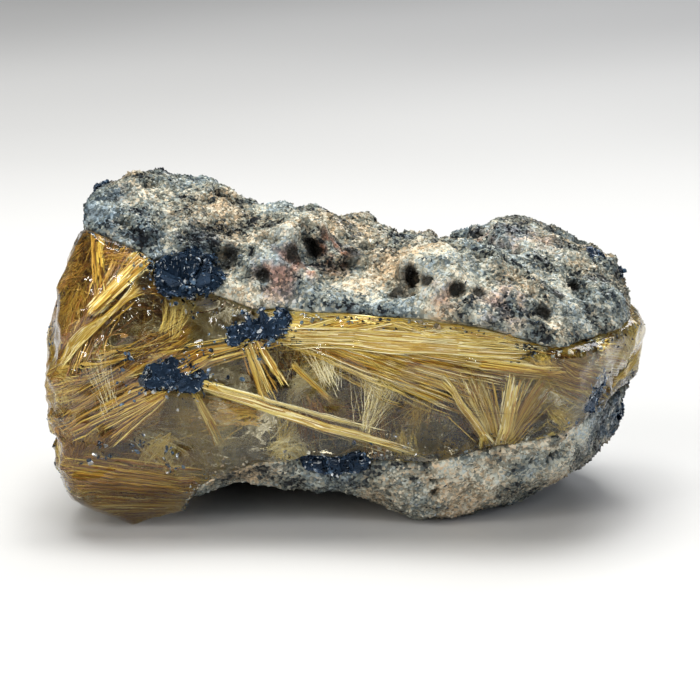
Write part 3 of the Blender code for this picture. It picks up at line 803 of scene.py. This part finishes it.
def hairs(name, lines, radii, tones):
    """One piece of many three-sided needles. Each line is a row of points, and its ends are sharp."""
    count, steps = lines.shape[:2]
    along = lines[:, -1] - lines[:, 0]
    along /= np.linalg.norm(along, axis=1)[:, None]
    helper = np.where(np.abs(along[:, 2:]) < 0.9, [[0, 0, 1]], [[1, 0, 0]])
    side = np.cross(along, helper)
    side /= np.linalg.norm(side, axis=1)[:, None]
    up = np.cross(along, side)
    rings = []
    for corner in range(3):
        angle = 2 * math.pi * corner / 3
        offset = (side * math.cos(angle) + up * math.sin(angle)) * radii[:, None]
        rings.append(lines[:, 1:-1] + offset[:, None])
    ringed = np.stack(rings, axis=2).reshape(count, -1, 3)
    corners = np.concatenate([lines[:, :1], lines[:, -1:], ringed], axis=1)
    faces = []
    last = 2 + 3 * (steps - 3)
    for corner in range(3):
        beside = (corner + 1) % 3
        faces.append((0, 2 + beside, 2 + corner))
        faces.append((1, last + corner, last + beside))
        for ring in range(steps - 3):
            low, high = 2 + 3 * ring, 5 + 3 * ring
            faces.append((low + corner, low + beside, high + beside))
            faces.append((low + corner, high + beside, high + corner))
    shifted = np.array(faces)[None] + (np.arange(count) * corners.shape[1])[:, None, None]
    mesh = bpy.data.meshes.new(name)
    mesh.from_pydata(corners.reshape(-1, 3), [], shifted.reshape(-1, 3))
    stored = mesh.attributes.new("tone", "FLOAT", "POINT")
    stored.data.foreach_set("value", np.repeat(tones, corners.shape[1]).astype(np.float32))
    piece = bpy.data.objects.new(name, mesh)
    bpy.context.scene.collection.objects.link(piece)
    return piece


# Rutile needles: straw gold to orange-brown, with a hard bright lustre.
rutile, tree, output = new_material("rutile, golden needles")
tones = node(tree, "ShaderNodeAttribute", attribute_name="tone")
gold = node(tree, "ShaderNodeValToRGB", {"Fac": tones.outputs["Fac"]}, [
    (0.0, "#2A2010"), (0.2, "#84551F"), (0.4, "#B58C36"), (0.6, "#D0B550"), (0.8, "#E8D988"),
    (1.0, "#FCF8D8"),
])
surface = node(tree, "ShaderNodeBsdfPrincipled", {
    "Base Color": gold.outputs["Color"], "Roughness": 0.3, "Metallic": 0.15, "IOR": 1.7,
})
tree.links.new(surface.outputs["BSDF"], output.inputs["Surface"])

for source in SHEAVES:
    points = points_of(frame["nodes"][source])
    middle = points.mean(axis=0)
    axes = np.linalg.svd(points - middle, full_matrices=False)[2]
    run = (points - middle) @ axes[0]
    marks = np.linspace(run.min(), run.max(), STATIONS)
    centre, wide, thick = [], [], []
    for mark in marks:
        close = np.argsort(np.abs(run - mark))[: max(FEWEST_CORNERS, len(points) // STATIONS)]
        near = points[close]
        shifts = (near - near.mean(axis=0)) @ axes.T
        centre.append(near.mean(axis=0) + axes[0] * (mark - run[close].mean()))
        wide.append(np.ptp(shifts[:, 1]) / 2)
        thick.append(np.ptp(shifts[:, 2]) / 2)
    centre, wide, thick = np.array(centre), np.array(wide), np.array(thick)
    chance = np.random.default_rng(len(source) + int(1000 * wide.sum() / MM))
    count = NEEDLES_PER_SHEAF
    across = chance.uniform(-ACROSS, ACROSS, (count, 1, 1)) + np.linspace(0, 1, STATIONS)[:, None] * (
        chance.normal(size=(count, 1, 1)) * FANNING
    )
    above = chance.uniform(-ABOVE, ABOVE, (count, 1, 1))
    lines = centre[None] + axes[1] * across * wide[:, None] + axes[2] * above * thick[:, None]
    cut = np.sort(chance.uniform(0, 1, (count, 2)), axis=1)
    cut[:, 0] *= LATEST_START
    cut[:, 1] = np.maximum(cut[:, 1], cut[:, 0] + LEAST_RUN).clip(max=1)
    shares = cut[:, :1] + (cut[:, 1:] - cut[:, :1]) * np.linspace(0, 1, STATIONS)
    places = shares * (STATIONS - 1)
    below = np.clip(places.astype(int), 0, STATIONS - 2)
    part = (places - below)[..., None]
    rows = np.arange(count)[:, None]
    lines = lines[rows, below] * (1 - part) + lines[rows, below + 1] * part
    for point in lines.reshape(-1, 3):
        found, normal, *_ = clear_side.find_nearest(Vector(point))
        proud = (Vector(point) - found).dot(normal)
        point -= np.array(normal) * max(0, proud - LYING * MM)
    needles = hairs(f"{source}_needles", lines, chance.uniform(*NEEDLE_RADII, count) * MM,
                    chance.uniform(*NEEDLE_TONES, count))
    give(needles, rutile)
    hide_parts(source)
    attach(needles, "root")


# The rutile inside: sprays of straight needles that start from the hematite and cross the clear quartz.
# The ones that show best lie close under the broken faces. A haze of finer needles fills the depth.
# Each spray: the face it lies under, its start and end, across and up, the spread at each, how many needles,
# their radius, the least and most depth, and the tone.
SPRAYS = [
    ("front", (-11, 29), (23.5, 26), 1.3, 3.2, 1500, 0.06, (0.1, 0.7), (0.6, 1.0)),
    ("front", (-11, 28.5), (15, 21.5), 1.0, 3.6, 700, 0.06, (0.2, 1.4), (0.5, 0.95)),
    ("front", (-4, 27.5), (20, 23.5), 2.2, 3.2, 420, 0.07, (0.3, 2.4), (0.25, 0.55)),
    ("front", (-19.8, 21.7), (4.6, 15), 0.3, 0.5, 70, 0.06, (0.1, 0.5), (0.7, 1.0)),
    ("front", (-19.8, 21.2), (8.6, 11.4), 0.3, 0.8, 90, 0.06, (0.1, 0.7), (0.7, 1.0)),
    ("front", (19.4, 11.8), (14, 24.5), 0.8, 3.2, 260, 0.075, (0.2, 2.2), (0.55, 0.95)),
    ("front", (19.8, 11.8), (21.4, 22), 0.7, 1.0, 110, 0.09, (0.1, 1), (0.6, 0.95)),
    ("front", (19.6, 11.8), (25, 22), 0.8, 3.4, 130, 0.06, (0.4, 3), (0.4, 0.8)),
    ("front", (17, 24.2), (27.5, 23), 0.7, 0.9, 120, 0.08, (0.1, 1), (0.5, 0.85)),
    ("front", (20, 11.5), (30, 13.5), 0.4, 1.5, 90, 0.07, (0.1, 1), (0.5, 0.9)),
    ("front", (-33.5, 30.5), (-26, 37.5), 0.7, 1.0, 130, 0.085, (0.1, 1.2), (0.5, 0.95)),
    ("front", (-33.6, 40), (-32.4, 32.5), 0.5, 1.4, 60, 0.08, (0.1, 1.2), (0.3, 0.7)),
    ("front", (-34, 42.6), (-26, 42.9), 0.4, 0.5, 50, 0.08, (0.05, 0.6), (0.5, 0.9)),
    ("front", (-14, 27.5), (-10.6, 19.4), 0.5, 1.2, 70, 0.075, (0.2, 2), (0.5, 0.85)),
    ("front", (-12.4, 27), (-8.5, 21), 0.3, 0.6, 40, 0.07, (0.2, 1.6), (0.5, 0.85)),
    ("front", (-7.5, 23.7), (-2, 18.7), 0.3, 0.4, 24, 0.06, (0.2, 2), (0.5, 0.85)),
    ("front", (-20.4, 20.4), (-17, 13.6), 0.3, 0.8, 40, 0.07, (0.2, 1.8), (0.4, 0.8)),
    ("front", (-24, 20), (-33, 14.6), 0.5, 2.4, 120, 0.06, (0.2, 2), (0.3, 0.7)),
    ("front", (-19, 24.5), (-38, 14.5), 0.9, 2.4, 320, 0.075, (0.1, 2), (0.2, 0.55)),
    ("front", (-22, 27), (-38, 18), 1.4, 3.0, 240, 0.07, (0.1, 2.5), (0.2, 0.55)),
    ("front", (-37, 9), (-20, 7), 2.4, 2.4, 320, 0.07, (0.1, 3), (0.35, 0.7)),
    ("front", (-34, 3.6), (-21, 3), 1.6, 1.4, 200, 0.06, (0.1, 1.5), (0.4, 0.8)),
    ("front", (-36, 24), (-30, 38), 2.2, 3.0, 200, 0.07, (0.3, 4), (0.15, 0.5)),
    ("front", (26, 24), (36, 18), 2.4, 3.2, 200, 0.07, (0.3, 3), (0.35, 0.7)),
    ("back", (20.5, 28.5), (4.2, 14.6), 1.1, 1.0, 150, 0.09, (0.1, 1.4), (0.5, 0.95)),
    ("back", (9.6, 25.7), (4.3, 17.9), 0.9, 0.8, 90, 0.1, (0.1, 1.2), (0.5, 0.9)),
    ("back", (17.5, 12), (6.4, 13.7), 0.5, 0.4, 60, 0.09, (0.1, 0.8), (0.6, 0.95)),
    ("back", (1.3, 14.5), (-8.5, 16.4), 0.2, 0.3, 20, 0.09, (0.1, 0.8), (0.6, 0.9)),
    ("back", (-10, 24.7), (-20, 15.3), 0.8, 0.5, 90, 0.1, (0.1, 1.2), (0.5, 0.95)),
    ("back", (-27, 22), (-26, 5), 1.2, 8.0, 520, 0.07, (0.1, 3), (0.4, 0.85)),
    ("back", (-27, 22), (-16, 16), 1.0, 4.0, 180, 0.07, (0.2, 3), (0.35, 0.8)),
    ("back", (-12, 26), (-26, 28), 1.4, 1.2, 160, 0.07, (0.1, 1.6), (0.4, 0.85)),
    ("back", (26, 32), (30, 27), 1.2, 1.6, 90, 0.08, (0.1, 0.8), (0.5, 0.9)),
    ("back", (30, 22), (38, 17), 1.4, 1.8, 120, 0.07, (0.1, 2), (0.45, 0.85)),
    ("back", (10, 24), (-4, 20), 4.0, 5.0, 320, 0.06, (0.5, 5), (0.3, 0.7)),
    ("left", (-12, 34), (-2, 22), 3.6, 4.0, 520, 0.075, (0.1, 2.5), (0.2, 0.55)),
    ("left", (6, 34), (16, 24), 2.4, 3.6, 320, 0.07, (0.1, 2), (0.45, 0.8)),
    ("left", (14, 22), (2, 24), 2.6, 1.4, 220, 0.07, (0.2, 2), (0.4, 0.8)),
    ("left", (-6, 20), (-18, 10), 2.6, 3.4, 260, 0.07, (0.2, 2.4), (0.4, 0.75)),
    ("left", (18, 8), (4, 3.5), 3.2, 2.0, 260, 0.07, (0.1, 2), (0.4, 0.8)),
    ("left", (18, 24), (19, 12), 1.0, 1.6, 140, 0.075, (0.1, 1.4), (0.4, 0.8)),
    ("left", (-20, 32), (-18, 18), 1.6, 2.0, 180, 0.08, (0.1, 1.6), (0.35, 0.8)),
    ("right", (-17, 24), (6, 18.5), 1.8, 2.4, 420, 0.075, (0.1, 1.6), (0.5, 0.95)),
    ("right", (8, 20), (17, 19), 1.6, 2.4, 240, 0.07, (0.1, 1.6), (0.45, 0.85)),
    ("right", (-4, 19.5), (2, 19), 1.4, 1.0, 160, 0.08, (0.05, 0.8), (0.7, 1.0)),
]
LOOKING = {"front": (0, 1, 0), "back": (0, -1, 0), "left": (1, 0, 0), "right": (-1, 0, 0)}
# How many places on a needle are tried for its start, how far it ends from a face, and the shortest one kept.
CHECKED, NEEDLE_MARGIN, SHORTEST = 6, 0.12, 1.5
# A needle's sharp tip, as a share of its length.
TIP = 0.06
# How far along its line a spray's needle ends, and how its depth and radius vary.
REACHED, DEEPER, THICKER = (0.55, 1.05), (0.6, 1.4), (0.4, 1.5)
# In metres: where a line towards the stone starts, and the step that carries a line past a face it has met.
FAR_OFF, PAST = 0.1, 1e-6

outer = tree_of(stone_names)
UP = Vector((0, 0, 1))


def inside(point):
    """Whether a point lies in the quartz: a line up from it crosses the surface an odd number of times."""
    crossings = 0
    found = clear_side.ray_cast(point, UP)[0]
    while found:
        crossings += 1
        found = clear_side.ray_cast(found + UP * PAST, UP)[0]
    return crossings % 2 == 1


def kept_part(start, end):
    """The part of a needle from start to end that lies in the quartz, or None if it is too short."""
    way = (end - start).normalized()
    for step in range(CHECKED):
        first = start.lerp(end, step / CHECKED)
        if inside(first):
            found = clear_side.ray_cast(first, way, (end - first).length)[0]
            last = found - way * NEEDLE_MARGIN * MM if found else end
            return (first, last) if (last - first).dot(way) > SHORTEST * MM else None
    return None


def under(face, across, up, depth):
    """The point at a depth under one face of the stone, or None beside it."""
    way = Vector(LOOKING[face])
    start = Vector((across, 0, up)) if way.y else Vector((0, across, up))
    found, *_ = outer.ray_cast(start * MM - way * FAR_OFF, way)
    return found and found + way * depth * MM


def straight(starts, ends):
    """Lines of four points, with sharp tips, from starts to ends."""
    starts, ends = np.array(starts), np.array(ends)
    return np.stack([starts, starts * (1 - TIP) + ends * TIP, starts * TIP + ends * (1 - TIP), ends], axis=1)


for number, (face, start, end, near, far, count, radius, depths, tone) in enumerate(SPRAYS):
    chance = np.random.default_rng(100 + number)
    starts, ends = [], []
    for _ in range(count):
        lean = chance.normal(size=2) * 0.5
        depth = chance.uniform(*depths)
        first = under(face, *(np.array(start) + lean * near), depth)
        reached = np.array(end) + lean * far + chance.normal(size=2) * 0.25 * far
        reached = np.array(start) + (reached - start) * chance.uniform(*REACHED)
        last = under(face, *reached, depth * chance.uniform(*DEEPER))
        kept = first and last and kept_part(first, last)
        if kept:
            starts.append(kept[0])
            ends.append(kept[1])
    if not starts:
        continue
    thickness = radius * chance.uniform(*THICKER, len(starts)) * MM
    tones = chance.uniform(tone[0] - 0.25, tone[1] + 0.05, len(starts)).clip(0, 1)
    spray = hairs(f"rutile_spray_{number:02d}", straight(starts, ends), thickness, tones)
    give(spray, rutile)
    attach(spray, "root")

# How far a fan's needles spread, and how big the cluster is that they start from.
FAN_SPREAD, ROOT_SIZE = 0.2, 0.7
# Hazes of finer needles, in fans from points in the quartz: middle and half-size of the space they start
# in, fans, needles in each, least and greatest length, tone and radius.
HAZES = [
    ("gold", (0, 0, 20), (40, 23, 20), 114, 85, (5, 17), (0.3, 0.75), (0.022, 0.05)),
    ("straw", (0, -8, 20), (40, 15, 20), 102, 80, (7, 20), (0.6, 1.0), (0.022, 0.045)),
    ("brown", (3, -13, 21), (15, 8, 6), 64, 90, (1.5, 6), (0.0, 0.16), (0.04, 0.08)),
    ("left_end", (-38.2, -3, 18), (2.2, 18, 17), 68, 70, (2, 8), (0.35, 0.8), (0.03, 0.055)),
    ("right_end", (37.5, 0, 20), (3, 15, 6), 40, 70, (2, 7), (0.4, 0.8), (0.03, 0.055)),
    ("rust", (-32, -8, 23), (8, 15, 15), 90, 90, (3, 11), (0.12, 0.42), (0.03, 0.06)),
]
for number, (name, middle, half, fans, needles, length, tone, radius) in enumerate(HAZES):
    chance = np.random.default_rng(200 + number)
    starts, ends, tones = [], [], []
    while fans:
        root = Vector(middle + chance.uniform(-1, 1, 3) * half) * MM
        if not inside(root):
            continue
        fans -= 1
        heading = Vector(chance.normal(size=3)).normalized()
        fan_tone = chance.uniform(*tone)
        for _ in range(needles):
            way = (heading + Vector(chance.normal(size=3)) * FAN_SPREAD).normalized()
            first = root + Vector(chance.normal(size=3)) * ROOT_SIZE * MM
            kept = kept_part(first, first + way * chance.uniform(*length) * MM)
            if kept:
                starts.append(kept[0])
                ends.append(kept[1])
                tones.append(fan_tone + chance.uniform(-0.15, 0.2))
    lines = straight(starts, ends)[:, (0, 1, 3)]
    thickness = chance.uniform(*radius, len(starts)) * MM
    haze = hairs(f"rutile_haze_{name}", lines, thickness, np.clip(tones, 0, 1))
    give(haze, rutile)
    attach(haze, "root")
